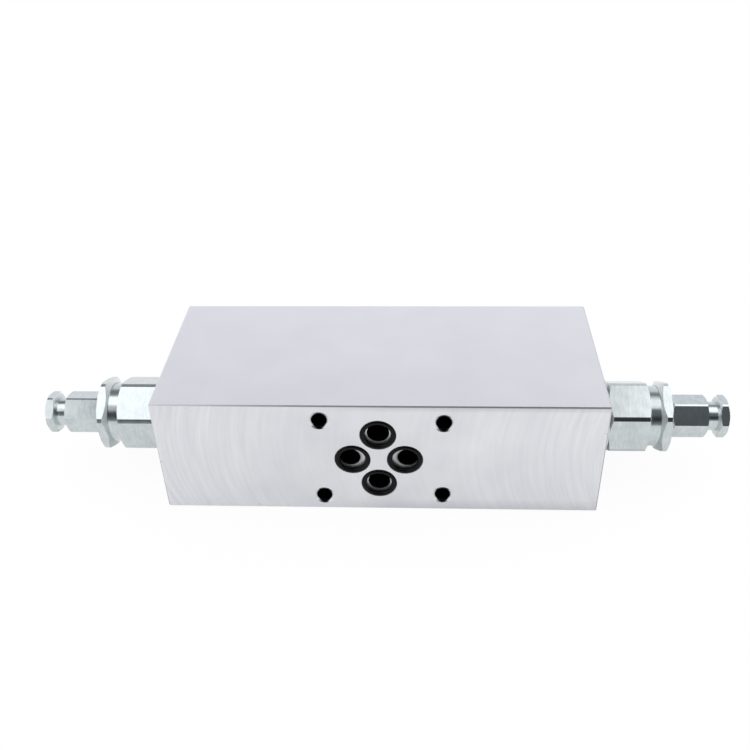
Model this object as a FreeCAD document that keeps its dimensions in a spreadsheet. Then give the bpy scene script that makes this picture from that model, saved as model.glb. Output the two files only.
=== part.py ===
import FreeCAD, Part
import math
import os
import Sketcher

# A load-holding brake valve in a sandwich plate. Two screw-in cartridges, one in each end of a
# milled plate, hold the load on the A line and on the B line of a hydraulic actuator.
#
# Frame: the origin is the centre of the port pattern on the ringed port face. +X runs along the
# plate towards the A cartridge, +Y into the plate, and +Z up.
# Each cartridge has its own frame: its Z axis points out of the plate, from the plate's end face.

doc = FreeCAD.newDocument("brake_valve")
sheet = doc.addObject("Spreadsheet::Sheet", "sizes")


class Size:
    """A length or angle that carries its formula for the document and its present value."""

    def __init__(self, formula, value):
        self.formula = formula
        self.value = value

    def joined(self, sign, other, value):
        return Size(f"({self.formula} {sign} {as_size(other).formula})", value)

    def __add__(self, other):
        return self.joined("+", other, self.value + as_size(other).value)

    def __sub__(self, other):
        return self.joined("-", other, self.value - as_size(other).value)

    def __mul__(self, other):
        return self.joined("*", other, self.value * as_size(other).value)

    def __truediv__(self, other):
        return self.joined("/", other, self.value / as_size(other).value)

    def __neg__(self):
        return Size(f"(0 - {self.formula})", -self.value)


def as_size(number):
    return number if isinstance(number, Size) else Size(str(number), float(number))


def slope_angle(rise, run):
    """The angle, in degrees, of a slope."""
    turn = math.degrees(math.atan(rise.value / run.value))
    return Size(f"atan({rise.formula} / {run.formula}) / 1 deg", turn)


def distance(run, rise):
    """The straight distance across a run and a rise."""
    formula = f"sqrt(({run.formula}) ^ 2 + ({rise.formula}) ^ 2)"
    return Size(formula, math.hypot(run.value, rise.value))


rows = []


def size(name, value):
    """One driving dimension: a row of the sheet, with its name as the alias."""
    rows.append(name)
    row = len(rows)
    sheet.set(f"A{row}", name)
    sheet.set(f"B{row}", str(value))
    sheet.setAlias(f"B{row}", name)
    return Size(f"sizes.{name}", value)


ZERO = as_size(0)

# The plate
plate_length = size("plate_length", 148.5)
plate_depth = size("plate_depth", 62.5)
plate_height = size("plate_height", 44.5)
plate_chamfer = size("plate_chamfer", 0.4)

# The port pattern, the same on both port faces
port_radius = size("port_radius", 3.75)
main_port_rise = size("main_port_rise", 10.4)
port_reach_a = size("port_reach_a", 8.8)
port_reach_b = size("port_reach_b", 8.7)
load_port_radius = size("load_port_radius", 3.5)
load_port_offset = size("load_port_offset", 0.9)
bolt_bore_radius = size("bolt_bore_radius", 2.65)
bolt_mouth_width = size("bolt_mouth_width", 0.9)
bolt_mouth_depth = size("bolt_mouth_depth", 0.5)
bolt_reach_a = size("bolt_reach_a", 21.5)
bolt_reach_b = size("bolt_reach_b", 19.0)
bolt_rise = size("bolt_rise", 15.5)
long_bolt_rise = size("long_bolt_rise", 16.25)
recess_radius = size("recess_radius", 6.05)
recess_depth = size("recess_depth", 1.35)
port_ring_wire = size("port_ring_wire", 1.78)

# Clearances
running_gap = size("running_gap", 0.05)
seat_gap = size("seat_gap", 0.05)
ring_gap = size("ring_gap", 0.05)

# The cartridge cavities, from the end face inwards
axis_depth = size("axis_depth", 25.0)
mouth_radius = size("mouth_radius", 12.1)
mouth_length = size("mouth_length", 2.0)
thread_radius = size("thread_radius", 11.0)
thread_length = size("thread_length", 15.0)
pilot_zone_radius = size("pilot_zone_radius", 10.2)
pilot_zone_length = size("pilot_zone_length", 12.5)
middle_land_radius = size("middle_land_radius", 9.6)
middle_land_length = size("middle_land_length", 12.5)
valve_zone_length = size("valve_zone_length", 8.5)
nose_land_radius = size("nose_land_radius", 8.8)
nose_land_length = size("nose_land_length", 8.5)
nose_gap = size("nose_gap", 0.25)
load_bore_radius = size("load_bore_radius", 4.5)
port_overlap = size("port_overlap", 1.5)

# The drilled passages
valve_drill_radius = size("valve_drill_radius", 2.5)
valve_port_depth = size("valve_port_depth", 4.0)
pilot_drill_radius = size("pilot_drill_radius", 1.25)
pilot_drill_depth = size("pilot_drill_depth", 45.0)
pilot_crossing_rise = size("pilot_crossing_rise", 3.05)
pilot_climb = size("pilot_climb", 0.108)
drill_overrun = size("drill_overrun", 2.0)
plug_radius = size("plug_radius", 2.5)
plug_length = size("plug_length", 5.5)
plug_sink = size("plug_sink", 0.5)
plug_dimple = size("plug_dimple", 1.2)

# The cartridge housing, from the end face outwards
collar_radius = size("collar_radius", 12.7)
collar_length = size("collar_length", 3.6)
housing_flats = size("housing_flats", 23.4)
housing_land_radius = size("housing_land_radius", 13.1)
housing_hex_length = size("housing_hex_length", 13.9)
hexagon_foot_bevel = size("hexagon_foot_bevel", 1.9)
hexagon_top_bevel = size("hexagon_top_bevel", 1.1)
neck_radius = size("neck_radius", 10.5)
neck_length = size("neck_length", 3.8)
flange_length = size("flange_length", 3.5)
flange_foot_bevel = size("flange_foot_bevel", 2.2)
housing_clock_a = size("housing_clock_a", 58.2)
housing_clock_b = size("housing_clock_b", 53.1)
mouth_seal_bed = size("mouth_seal_bed", 10.4)
skirt_length = size("skirt_length", 3.0)
skirt_gap = size("skirt_gap", 0.1)
chamber_radius = size("chamber_radius", 8.0)
setting_thread_length = size("setting_thread_length", 7.8)
setting_thread_radius = size("setting_thread_radius", 5.0)
spigot_radius = size("spigot_radius", 8.5)
spigot_length = size("spigot_length", 8.0)

# The seat sleeve
sleeve_waist_radius = size("sleeve_waist_radius", 9.0)
valve_waist_radius = size("valve_waist_radius", 8.0)
seal_depth = size("seal_depth", 1.45)
middle_groove_width = size("middle_groove_width", 4.8)
nose_groove_width = size("nose_groove_width", 3.4)
seal_width = size("seal_width", 1.8)
backup_width = size("backup_width", 1.3)
nose_bevel = size("nose_bevel", 0.6)
pilot_bore_radius = size("pilot_bore_radius", 6.05)
stem_bore_radius = size("stem_bore_radius", 4.2)
valve_chamber_radius = size("valve_chamber_radius", 5.0)
valve_chamber_back = size("valve_chamber_back", 1.5)
valve_chamber_front = size("valve_chamber_front", 7.0)
check_bore_radius = size("check_bore_radius", 6.0)
pilot_hole_radius = size("pilot_hole_radius", 1.25)
pilot_hole_back = size("pilot_hole_back", 4.5)
valve_hole_radius = size("valve_hole_radius", 1.8)
clip_bore_radius = size("clip_bore_radius", 6.6)
clip_groove_width = size("clip_groove_width", 0.8)
clip_shoulder = size("clip_shoulder", 0.8)
clip_inner_radius = size("clip_inner_radius", 4.4)
clip_opening = size("clip_opening", 50.0)

# The check poppet and its spring
check_length = size("check_length", 5.8)
check_lip = size("check_lip", 0.4)
check_hole_radius = size("check_hole_radius", 2.6)
check_hole_length = size("check_hole_length", 2.4)
check_back_radius = size("check_back_radius", 4.2)
check_flats = size("check_flats", 10.4)
check_ring_length = size("check_ring_length", 0.4)
check_spring_wire = size("check_spring_wire", 0.5)
check_spring_radius = size("check_spring_radius", 5.0)
check_spring_turns = size("check_spring_turns", 2.5)

# The relief poppet
relief_tip_radius = size("relief_tip_radius", 1.8)
relief_head_radius = size("relief_head_radius", 3.4)
relief_head_length = size("relief_head_length", 0.8)
relief_waist_radius = size("relief_waist_radius", 2.4)
relief_land_overlap = size("relief_land_overlap", 1.0)
relief_land_back = size("relief_land_back", 0.8)
relief_stem_radius = size("relief_stem_radius", 3.4)
pilot_land_length = size("pilot_land_length", 9.5)
pilot_land_sink = size("pilot_land_sink", 1.0)
tail_radius = size("tail_radius", 2.5)
tail_length = size("tail_length", 1.7)
tail_socket_depth = size("tail_socket_depth", 0.8)

# The main spring and its seats
inner_seat_radius = size("inner_seat_radius", 7.7)
inner_seat_length = size("inner_seat_length", 2.2)
spring_boss_radius = size("spring_boss_radius", 4.8)
spring_boss_length = size("spring_boss_length", 2.5)
main_spring_wire = size("main_spring_wire", 2.4)
main_spring_radius = size("main_spring_radius", 6.4)
main_spring_turns = size("main_spring_turns", 4.5)
main_spring_length = size("main_spring_length", 17.8)
outer_seat_length = size("outer_seat_length", 5.5)
seat_groove_width = size("seat_groove_width", 2.0)
seat_groove_depth = size("seat_groove_depth", 1.25)

# The adjuster
adjuster_flats = size("adjuster_flats", 13.2)
adjuster_land_radius = size("adjuster_land_radius", 7.42)
adjuster_hex_bevel = size("adjuster_hex_bevel", 0.75)
button_bevel = size("button_bevel", 0.9)
adjuster_tip_bevel = size("adjuster_tip_bevel", 1.2)
setting_gap = size("setting_gap", 1.5)
adjuster_hex_length = size("adjuster_hex_length", 12.0)
adjuster_groove_length = size("adjuster_groove_length", 4.0)
adjuster_groove_radius = size("adjuster_groove_radius", 5.0)
adjuster_button_length = size("adjuster_button_length", 3.0)
adjuster_clock_a = size("adjuster_clock_a", 22.8)
adjuster_clock_b = size("adjuster_clock_b", 44.6)

doc.recompute()

# Stations along a cartridge: depths run inwards from the end face, heights outwards
half_length = plate_length / 2
thread_end = mouth_length + thread_length
middle_start = thread_end + pilot_zone_length
valve_start = middle_start + middle_land_length
nose_start = valve_start + valve_zone_length
nose_end = nose_start + nose_land_length
valve_middle = valve_start + valve_zone_length / 2
skirt_end = thread_end + skirt_length
spigot_top = skirt_end - spigot_length
pilot_hole_depth = middle_start - pilot_hole_back
chamber_back = valve_start + valve_chamber_back
seat_edge = valve_start + valve_chamber_front
seat_width = check_bore_radius - valve_chamber_radius
clip_front = nose_end - clip_shoulder
clip_back = clip_front - clip_groove_width
check_head = seat_edge + seat_gap - check_lip
check_end = check_head + check_length
relief_seat = check_head - seat_gap

hex_end = collar_length + housing_hex_length
neck_end = hex_end + neck_length
head_end = neck_end + flange_length
chamber_end = head_end - setting_thread_length
inner_seat_top = inner_seat_length - spigot_top
outer_seat_start = inner_seat_top + main_spring_length
outer_seat_end = outer_seat_start + outer_seat_length
adjuster_start = head_end + setting_gap
adjuster_neck = adjuster_start + adjuster_hex_length
button_start = adjuster_neck + adjuster_groove_length
adjuster_end = button_start + adjuster_button_length


def new_body(label):
    body = doc.addObject("PartDesign::Body", label)
    body.Label = label
    return body


def origin_plane(body, role):
    return next(part for part in body.Origin.OriginFeatures if part.Role == role)


def bind(target, path, value):
    """Tie a property of a feature to a size."""
    target.setExpression(path, value.formula)


def attach(feature, body, role, shift=ZERO, along="z", clock=None):
    """Place a sketch or a solid on a plane of its own body, moved along one axis of that plane."""
    feature.AttachmentSupport = [(origin_plane(body, role), "")]
    feature.MapMode = "FlatFace"
    bind(feature, f"AttachmentOffset.Base.{along}", shift)
    if clock is not None:
        bind(feature, "AttachmentOffset.Rotation.Angle", clock)


def sketch_on(body, name, role, shift=ZERO, along="z", clock=None):
    sketch = body.newObject("Sketcher::SketchObject", name)
    attach(sketch, body, role, shift, along, clock)
    return sketch


def pin_point(sketch, shape, spot, across, up):
    """Hold one point of a sketch at its distances from the sketch's origin."""
    for kind, value in (("DistanceX", across), ("DistanceY", up)):
        if value is ZERO:
            axis = -2 if kind == "DistanceX" else -1
            sketch.addConstraint(Sketcher.Constraint("PointOnObject", shape, spot, axis))
            continue
        rule = Sketcher.Constraint(kind, -1, 1, shape, spot, value.value)
        number = sketch.addConstraint(rule)
        bind(sketch, f"Constraints[{number}]", value)


def draw_outline(sketch, corners):
    """A closed outline of straight lines, each corner held by two sizes."""
    places = [FreeCAD.Vector(across.value, up.value, 0) for across, up in corners]
    count = len(corners)
    for number in range(count):
        line = Part.LineSegment(places[number], places[(number + 1) % count])
        sketch.addGeometry(line, False)
    for number in range(count):
        following = (number + 1) % count
        sketch.addConstraint(Sketcher.Constraint("Coincident", number, 2, following, 1))
    for number, (across, up) in enumerate(corners):
        pin_point(sketch, number, 1, across, up)


def draw_circle(sketch, across, up, radius):
    centre = FreeCAD.Vector(across.value, up.value, 0)
    circle = Part.Circle(centre, FreeCAD.Vector(0, 0, 1), radius.value)
    shape = sketch.addGeometry(circle, False)
    number = sketch.addConstraint(Sketcher.Constraint("Radius", shape, radius.value))
    bind(sketch, f"Constraints[{number}]", radius)
    pin_point(sketch, shape, 3, across, up)


def spin(body, kind, name, corners, angle=360.0):
    """Turn an outline of (radius, height) corners about the body's Z axis."""
    sketch = sketch_on(body, f"{name}_outline", "XZ_Plane")
    draw_outline(sketch, corners)
    feature = body.newObject(kind, name)
    feature.Profile = sketch
    feature.ReferenceAxis = (sketch, ["V_Axis"])
    feature.Angle = angle
    return feature


def turned(body, name, corners):
    return spin(body, "PartDesign::Revolution", name, corners)


def bored(body, name, corners):
    return spin(body, "PartDesign::Groove", name, corners)


def hexagon(body, name, flats, start, length, clock):
    """A hexagonal bar across the body's Z axis."""
    bar = body.newObject("PartDesign::AdditivePrism", name)
    bar.Polygon = 6
    bind(bar, "Circumradius", corner_radius(flats))
    bind(bar, "Height", length)
    attach(bar, body, "XY_Plane", start, "z", clock)


def corner_radius(flats):
    """The distance from a hexagon's centre to its corners."""
    return flats / math.sqrt(3)


def turn_corners(body, name, flats, land_radius, ends, bevels):
    """Turn the corners of a hexagon down to a round land, with a cone of thirty degrees at its
    foot and at its top."""
    foot, top = ends
    foot_bevel, top_bevel = bevels
    outside = corner_radius(flats) * 1.5
    slope = math.tan(math.radians(30))
    bored(
        body,
        name,
        [
            (land_radius - foot_bevel, foot),
            (outside, foot),
            (outside, top),
            (land_radius - top_bevel, top),
            (land_radius, top - top_bevel * slope),
            (land_radius, foot + foot_bevel * slope),
        ],
    )


def round_pockets(body, name, role, places, radius, depth=None, shift=ZERO, backwards=False):
    """Round holes of one radius from one plane of a body, through it where no depth is given."""
    sketch = sketch_on(body, f"{name}_circles", role, shift)
    for across, up in places:
        draw_circle(sketch, across, up, radius)
    pocket = body.newObject("PartDesign::Pocket", name)
    pocket.Profile = sketch
    pocket.Reversed = backwards
    if depth is None:
        pocket.Type = 1
    else:
        bind(pocket, "Length", depth)
    return pocket


def drilling(body, name, start, turn_axis, turn, radius, length):
    """A drilled hole from a start point, along the body's X axis turned about one other axis."""
    drill = body.newObject("PartDesign::SubtractiveCylinder", name)
    bind(drill, "Radius", radius)
    bind(drill, "Height", length)
    bind_placement(drill, start, turn_axis, turn)


def bind_placement(target, start, turn_axis, turn):
    """Place Z of a body or tool at a start point, lying along X and turned about another axis."""
    point = "; ".join(value.formula for value in start)
    lie = "create(<<rotation>>; create(<<vector>>; 0; 1; 0); 90)"
    swing = f"create(<<rotation>>; create(<<vector>>; {turn_axis}); {turn.formula})"
    target.setExpression(
        "Placement",
        f"create(<<placement>>; create(<<vector>>; {point}); {swing} * {lie})",
    )


ABOUT_Y = "0; 1; 0"
ABOUT_Z = "0; 0; 1"
SIDES = {"a": 1, "b": -1}


def make_plate():
    """The milled plate, with its port pattern, cartridge cavities and drilled passages."""
    plate = new_body("valve_plate")
    outline = sketch_on(plate, "plate_outline", "XZ_Plane")
    up = plate_height / 2
    corners = [(-half_length, -up), (half_length, -up), (half_length, up), (-half_length, up)]
    draw_outline(outline, corners)
    pad = plate.newObject("PartDesign::Pad", "plate_stock")
    pad.Profile = outline
    pad.Reversed = True
    bind(pad, "Length", plate_depth)
    doc.recompute()
    edges = plate.newObject("PartDesign::Chamfer", "broken_edges")
    edges.Base = (pad, [f"Edge{number + 1}" for number in range(len(pad.Shape.Edges))])
    bind(edges, "Size", plate_chamfer)

    recesses = [(ZERO, main_port_rise), (ZERO, -main_port_rise)]
    recesses += [(port_reach_a, ZERO), (-port_reach_b, ZERO)]
    round_pockets(plate, "ring_recesses", "XZ_Plane", recesses, recess_radius, recess_depth)
    round_pockets(plate, "main_ports", "XZ_Plane", recesses[:2], port_radius)
    place_a = port_reach_a + load_port_offset
    place_b = port_reach_b + load_port_offset
    load_ports = [(place_a, ZERO), (-place_b, ZERO)]
    load_depth = axis_depth - load_bore_radius + port_overlap
    round_pockets(plate, "load_ports", "XZ_Plane", load_ports, load_port_radius, load_depth)
    round_pockets(
        plate,
        "valve_ports",
        "XZ_Plane",
        recesses[2:],
        port_radius,
        valve_port_depth,
        shift=-plate_depth,
        backwards=True,
    )
    bolts = [(bolt_reach_a, bolt_rise), (bolt_reach_a, -bolt_rise)]
    bolts += [(-bolt_reach_b, long_bolt_rise), (-bolt_reach_b, -long_bolt_rise)]
    round_pockets(plate, "bolt_holes", "XZ_Plane", bolts, bolt_bore_radius)
    bevel_bolt_mouths(plate, bolts)
    for side, way in SIDES.items():
        cut_cavity(plate, side, way)
        drill_valve_line(plate, side, way)
        drill_pilot_line(plate, side, way)
    return plate


def bevel_bolt_mouths(plate, bolts):
    """Countersink the bolt holes a little, on both faces."""
    rim = bolt_bore_radius + bolt_mouth_width
    slope = slope_angle(bolt_mouth_width, bolt_mouth_depth)
    for name, shift, backwards in (("front", ZERO, False), ("back", -plate_depth, True)):
        mouths = round_pockets(
            plate,
            f"{name}_bolt_mouths",
            "XZ_Plane",
            bolts,
            rim,
            bolt_mouth_depth,
            shift=shift,
            backwards=backwards,
        )
        bind(mouths, "TaperAngle", -slope)


def cut_cavity(plate, side, way):
    """The stepped cavity of one cartridge, and the bore from its nose to the load port."""
    port_reach = port_reach_a if side == "a" else port_reach_b
    cavity_end = nose_end + nose_gap
    steps = [
        (ZERO, mouth_radius),
        (mouth_length, mouth_radius),
        (mouth_length, thread_radius),
        (thread_end, thread_radius),
        (thread_end, pilot_zone_radius),
        (middle_start, pilot_zone_radius),
        (middle_start, middle_land_radius),
        (nose_start, middle_land_radius),
        (nose_start, nose_land_radius),
        (cavity_end, nose_land_radius),
        (cavity_end, load_bore_radius),
        (half_length - port_reach + drill_overrun, load_bore_radius),
    ]
    steps = [(ZERO, ZERO)] + steps + [(steps[-1][0], ZERO)]
    sketch = sketch_on(plate, f"cavity_{side}_outline", "XY_Plane", axis_depth, "y")
    draw_outline(sketch, [((half_length - depth) * way, radius) for depth, radius in steps])
    cavity = plate.newObject("PartDesign::Groove", f"cavity_{side}")
    cavity.Profile = sketch
    cavity.ReferenceAxis = (sketch, ["H_Axis"])
    cavity.Angle = 360.0


def drill_valve_line(plate, side, way):
    """The slanted drilling from a valve port to the middle of its cartridge's valve zone."""
    port_reach = port_reach_a if side == "a" else port_reach_b
    run = half_length - valve_middle - port_reach
    fall = plate_depth - axis_depth - middle_land_radius
    angle = slope_angle(fall, run)
    turn = -angle if way > 0 else angle + 180
    start = (port_reach * way, plate_depth, ZERO)
    reach = distance(run, fall) + drill_overrun
    drilling(plate, f"valve_line_{side}", start, ABOUT_Z, turn, valve_drill_radius, reach)


def pilot_rise(way, across):
    """The height of a cartridge's pilot line above the axes, at a distance across the plate."""
    return (pilot_crossing_rise + pilot_climb * across) * way


def pilot_link_place(way):
    """The place across the plate, and the height, of the hole that ends a pilot line."""
    across = half_length - pilot_hole_depth
    return across * way, pilot_rise(way, across)


def pilot_turn(way):
    """The turn about Y of a pilot line's direction, from the far end face to its cartridge."""
    angle = slope_angle(pilot_climb, as_size(1))
    return -angle if way > 0 else -angle + 180


def drill_pilot_line(plate, side, way):
    """The pilot line of one cartridge: it comes in from the far end face, takes its oil from the
    other valve line, climbs past its own, and ends under a hole from the valve face."""
    start = (-half_length * way, pilot_drill_depth, pilot_rise(way, -half_length))
    turn = pilot_turn(way)
    reach = half_length * 2 - pilot_hole_depth + drill_overrun / 2
    drilling(plate, f"pilot_line_{side}", start, ABOUT_Y, turn, pilot_drill_radius, reach)
    seat_length = plug_length + plug_sink
    drilling(plate, f"pilot_mouth_{side}", start, ABOUT_Y, turn, plug_radius, seat_length)
    place = [pilot_link_place(way)]
    depth = plate_depth - axis_depth
    round_pockets(
        plate,
        f"pilot_link_{side}",
        "XZ_Plane",
        place,
        pilot_drill_radius,
        depth,
        shift=-plate_depth,
        backwards=True,
    )
    round_pockets(
        plate,
        f"link_mouth_{side}",
        "XZ_Plane",
        place,
        plug_radius,
        seat_length,
        shift=-plate_depth,
        backwards=True,
    )


def make_plug(label):
    """An expander plug: a short sleeve with a dimpled outer end, driven into a drilled hole."""
    plug = new_body(label)
    rim = plug_radius * 0.7
    top = plug_sink + plug_length
    corners = [(ZERO, plug_sink + plug_dimple), (rim, plug_sink), (plug_radius, plug_sink)]
    turned(plug, "plug_solid", corners + [(plug_radius, top), (ZERO, top)])
    return plug


def make_plugs():
    for side, way in SIDES.items():
        pilot_plug = make_plug(f"pilot_line_plug_{side}")
        start = (-half_length * way, pilot_drill_depth, pilot_rise(way, -half_length))
        bind_placement(pilot_plug, start, ABOUT_Y, pilot_turn(way))
        link_plug = make_plug(f"pilot_link_plug_{side}")
        across, rise = pilot_link_place(way)
        bind_placement(link_plug, (across, plate_depth, rise), ABOUT_Z, as_size(-90))


def make_port_ring(label, across, rise):
    """A round seal ring in a recess of the port face, standing a little proud of it."""
    ring = new_body(label)
    wire = port_ring_wire / 2
    sketch = sketch_on(ring, "ring_section", "XZ_Plane")
    middle = recess_radius - ring_gap - wire
    draw_circle(sketch, middle, recess_depth - wire, wire)
    feature = ring.newObject("PartDesign::Revolution", "ring_solid")
    feature.Profile = sketch
    feature.ReferenceAxis = (sketch, ["V_Axis"])
    feature.Angle = 360.0
    bind_placement(ring, (across, ZERO, rise), ABOUT_Z, as_size(90))


def make_port_rings():
    make_port_ring("port_ring_p", ZERO, main_port_rise)
    make_port_ring("port_ring_t", ZERO, -main_port_rise)
    make_port_ring("port_ring_a", port_reach_a, ZERO)
    make_port_ring("port_ring_b", -port_reach_b, ZERO)


def place_in_plate(body, side):
    """Put a piece of a cartridge in its end of the plate, with its Z axis pointing outwards."""
    way = SIDES[side]
    turn = ZERO if way > 0 else as_size(180)
    bind_placement(body, (half_length * way, axis_depth, ZERO), ABOUT_Z, turn)


def cartridge_body(label, side):
    body = new_body(f"{label}_{side}")
    place_in_plate(body, side)
    return body


def make_housing(side):
    """The housing: wrench hexagon, turned neck, end flange, and the threaded shank."""
    clock = housing_clock_a if side == "a" else housing_clock_b
    housing = cartridge_body("cartridge_housing", side)
    turned(
        housing,
        "housing_core",
        [
            (ZERO, -skirt_end),
            (pilot_zone_radius - skirt_gap, -skirt_end),
            (pilot_zone_radius - skirt_gap, -thread_end),
            (thread_radius - running_gap, -thread_end),
            (thread_radius - running_gap, -mouth_length),
            (mouth_seal_bed, -mouth_length),
            (mouth_seal_bed, ZERO),
            (collar_radius, ZERO),
            (collar_radius, collar_length),
            (neck_radius, collar_length),
            (neck_radius, head_end),
            (ZERO, head_end),
        ],
    )
    hexagon(housing, "wrench_hexagon", housing_flats, collar_length, housing_hex_length, clock)
    hexagon(housing, "end_flange", housing_flats, neck_end, flange_length, clock)
    turn_corners(
        housing,
        "hexagon_corners",
        housing_flats,
        housing_land_radius,
        (collar_length, hex_end),
        (hexagon_foot_bevel, hexagon_top_bevel),
    )
    turn_corners(
        housing,
        "flange_corners",
        housing_flats,
        housing_land_radius,
        (neck_end, head_end),
        (flange_foot_bevel, hexagon_top_bevel),
    )
    bored(
        housing,
        "spring_chamber",
        [
            (ZERO, -skirt_end),
            (spigot_radius, -skirt_end),
            (spigot_radius, -spigot_top),
            (chamber_radius, -spigot_top),
            (chamber_radius, chamber_end),
            (setting_thread_radius, chamber_end),
            (setting_thread_radius, head_end),
            (ZERO, head_end),
        ],
    )


def seal_groove(land_radius, middle, width):
    """The corners of a seal groove in a land, from its outer end to its inner end."""
    floor = land_radius - seal_depth
    half = width / 2
    return [
        (land_radius - running_gap, half - middle),
        (floor, half - middle),
        (floor, -half - middle),
        (land_radius - running_gap, -half - middle),
    ]


middle_seal = middle_start + middle_land_length / 2
nose_seal = nose_start + nose_land_length / 2


def make_sleeve(side):
    """The seat sleeve: sealed lands, the poppet bores, the check seat and the radial ports."""
    sleeve = cartridge_body("seat_sleeve", side)
    middle_land = middle_land_radius - running_gap
    nose_land = nose_land_radius - running_gap
    turned(
        sleeve,
        "sleeve_core",
        [
            (ZERO, -spigot_top),
            (spigot_radius - running_gap, -spigot_top),
            (spigot_radius - running_gap, -skirt_end),
            (sleeve_waist_radius, -skirt_end),
            (sleeve_waist_radius, -middle_start),
            (middle_land, -middle_start),
            *seal_groove(middle_land_radius, middle_seal, middle_groove_width),
            (middle_land, -valve_start),
            (valve_waist_radius, -valve_start),
            (valve_waist_radius, -nose_start),
            (nose_land, -nose_start),
            *seal_groove(nose_land_radius, nose_seal, nose_groove_width),
            (nose_land, nose_bevel - nose_end),
            (nose_land - nose_bevel, -nose_end),
            (ZERO, -nose_end),
        ],
    )
    bored(
        sleeve,
        "sleeve_bores",
        [
            (ZERO, -spigot_top),
            (pilot_bore_radius, -spigot_top),
            (pilot_bore_radius, -middle_start),
            (stem_bore_radius, -middle_start),
            (stem_bore_radius, -chamber_back),
            (valve_chamber_radius, -chamber_back),
            (valve_chamber_radius, -seat_edge),
            (check_bore_radius, -seat_edge - seat_width),
            (check_bore_radius, -clip_back),
            (clip_bore_radius, -clip_back),
            (clip_bore_radius, -clip_front),
            (check_bore_radius, -clip_front),
            (check_bore_radius, -nose_end),
            (ZERO, -nose_end),
        ],
    )
    cross_holes(sleeve, "pilot_holes", pilot_hole_depth, pilot_hole_radius, 2)
    cross_holes(sleeve, "valve_holes", valve_middle, valve_hole_radius, 3)


def cross_holes(sleeve, name, depth, radius, drills):
    """Radial holes, drilled right across the sleeve and repeated round it."""
    sketch = sketch_on(sleeve, f"{name}_circle", "XZ_Plane")
    draw_circle(sketch, ZERO, -depth, radius)
    pocket = sleeve.newObject("PartDesign::Pocket", name)
    pocket.Profile = sketch
    pocket.Type = 1
    pocket.Midplane = True
    pattern = sleeve.newObject("PartDesign::PolarPattern", f"{name}_round")
    pattern.Originals = [pocket]
    pattern.Axis = (sketch, ["V_Axis"])
    pattern.Angle = 180.0 * (drills - 1) / drills
    pattern.Occurrences = drills
    sleeve.Tip = pattern


def make_check_poppet(side):
    """The check poppet: a coned head with flats for the oil, and the relief seat in its bore."""
    check = cartridge_body("check_poppet", side)
    guide = check_bore_radius - running_gap
    head = valve_chamber_radius - check_lip
    hollow = check_head + check_hole_length
    turned(
        check,
        "check_solid",
        [
            (check_hole_radius, -check_head),
            (head, -check_head),
            (guide, head - guide - check_head),
            (guide, -check_end),
            (check_back_radius, -check_end),
            (check_back_radius, -hollow),
            (check_hole_radius, -hollow),
        ],
    )
    ring_end = check_head + guide - head + check_ring_length
    sketch = sketch_on(check, "flat_outline", "XY_Plane", -check_end)
    near = check_flats / 2
    far = check_bore_radius + 1
    draw_outline(sketch, [(near, -far), (far, -far), (far, far), (near, far)])
    flat = check.newObject("PartDesign::Pocket", "oil_flat")
    flat.Profile = sketch
    flat.Reversed = True
    bind(flat, "Length", check_end - ring_end)
    pattern = check.newObject("PartDesign::PolarPattern", "oil_flats")
    pattern.Originals = [flat]
    pattern.Axis = (sketch, ["N_Axis"])
    pattern.Angle = 360.0
    pattern.Occurrences = 4
    check.Tip = pattern


def make_relief_poppet(side):
    """The relief poppet: seat cone, waist, guide land, and the larger land that the pilot lifts."""
    relief = cartridge_body("relief_poppet", side)
    guide = stem_bore_radius - running_gap
    piston = pilot_bore_radius - running_gap
    cone_back = relief_seat - (relief_head_radius - check_hole_radius)
    tip = relief_seat + (check_hole_radius - relief_tip_radius)
    head_back = cone_back - relief_head_length
    waist_start = head_back - (relief_head_radius - relief_waist_radius)
    land_front = chamber_back - relief_land_overlap
    land_back = middle_start + relief_land_back
    piston_back = spigot_top + pilot_land_sink
    piston_front = piston_back + pilot_land_length
    turned(
        relief,
        "relief_solid",
        [
            (ZERO, -tip),
            (relief_tip_radius, -tip),
            (relief_head_radius, -cone_back),
            (relief_head_radius, -head_back),
            (relief_waist_radius, -waist_start),
            (relief_waist_radius, -land_front),
            (guide, -land_front),
            (guide, -land_back),
            (relief_stem_radius, -land_back),
            (relief_stem_radius, -piston_front),
            (piston, -piston_front),
            (piston, -piston_back),
            (tail_radius, -piston_back),
            (tail_radius, tail_length - piston_back),
            (ZERO, tail_length - piston_back),
        ],
    )


def make_inner_seat(side):
    """The inner spring seat: it rests on the sleeve's end, and on the relief poppet's tail."""
    seat = cartridge_body("inner_spring_seat", side)
    boss_top = inner_seat_top + spring_boss_length
    socket = tail_radius + running_gap
    turned(
        seat,
        "inner_seat_solid",
        [
            (ZERO, tail_socket_depth - spigot_top),
            (socket, tail_socket_depth - spigot_top),
            (socket, -spigot_top),
            (inner_seat_radius, -spigot_top),
            (inner_seat_radius, inner_seat_top),
            (spring_boss_radius, inner_seat_top),
            (spring_boss_radius, boss_top),
            (ZERO, boss_top),
        ],
    )


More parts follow.
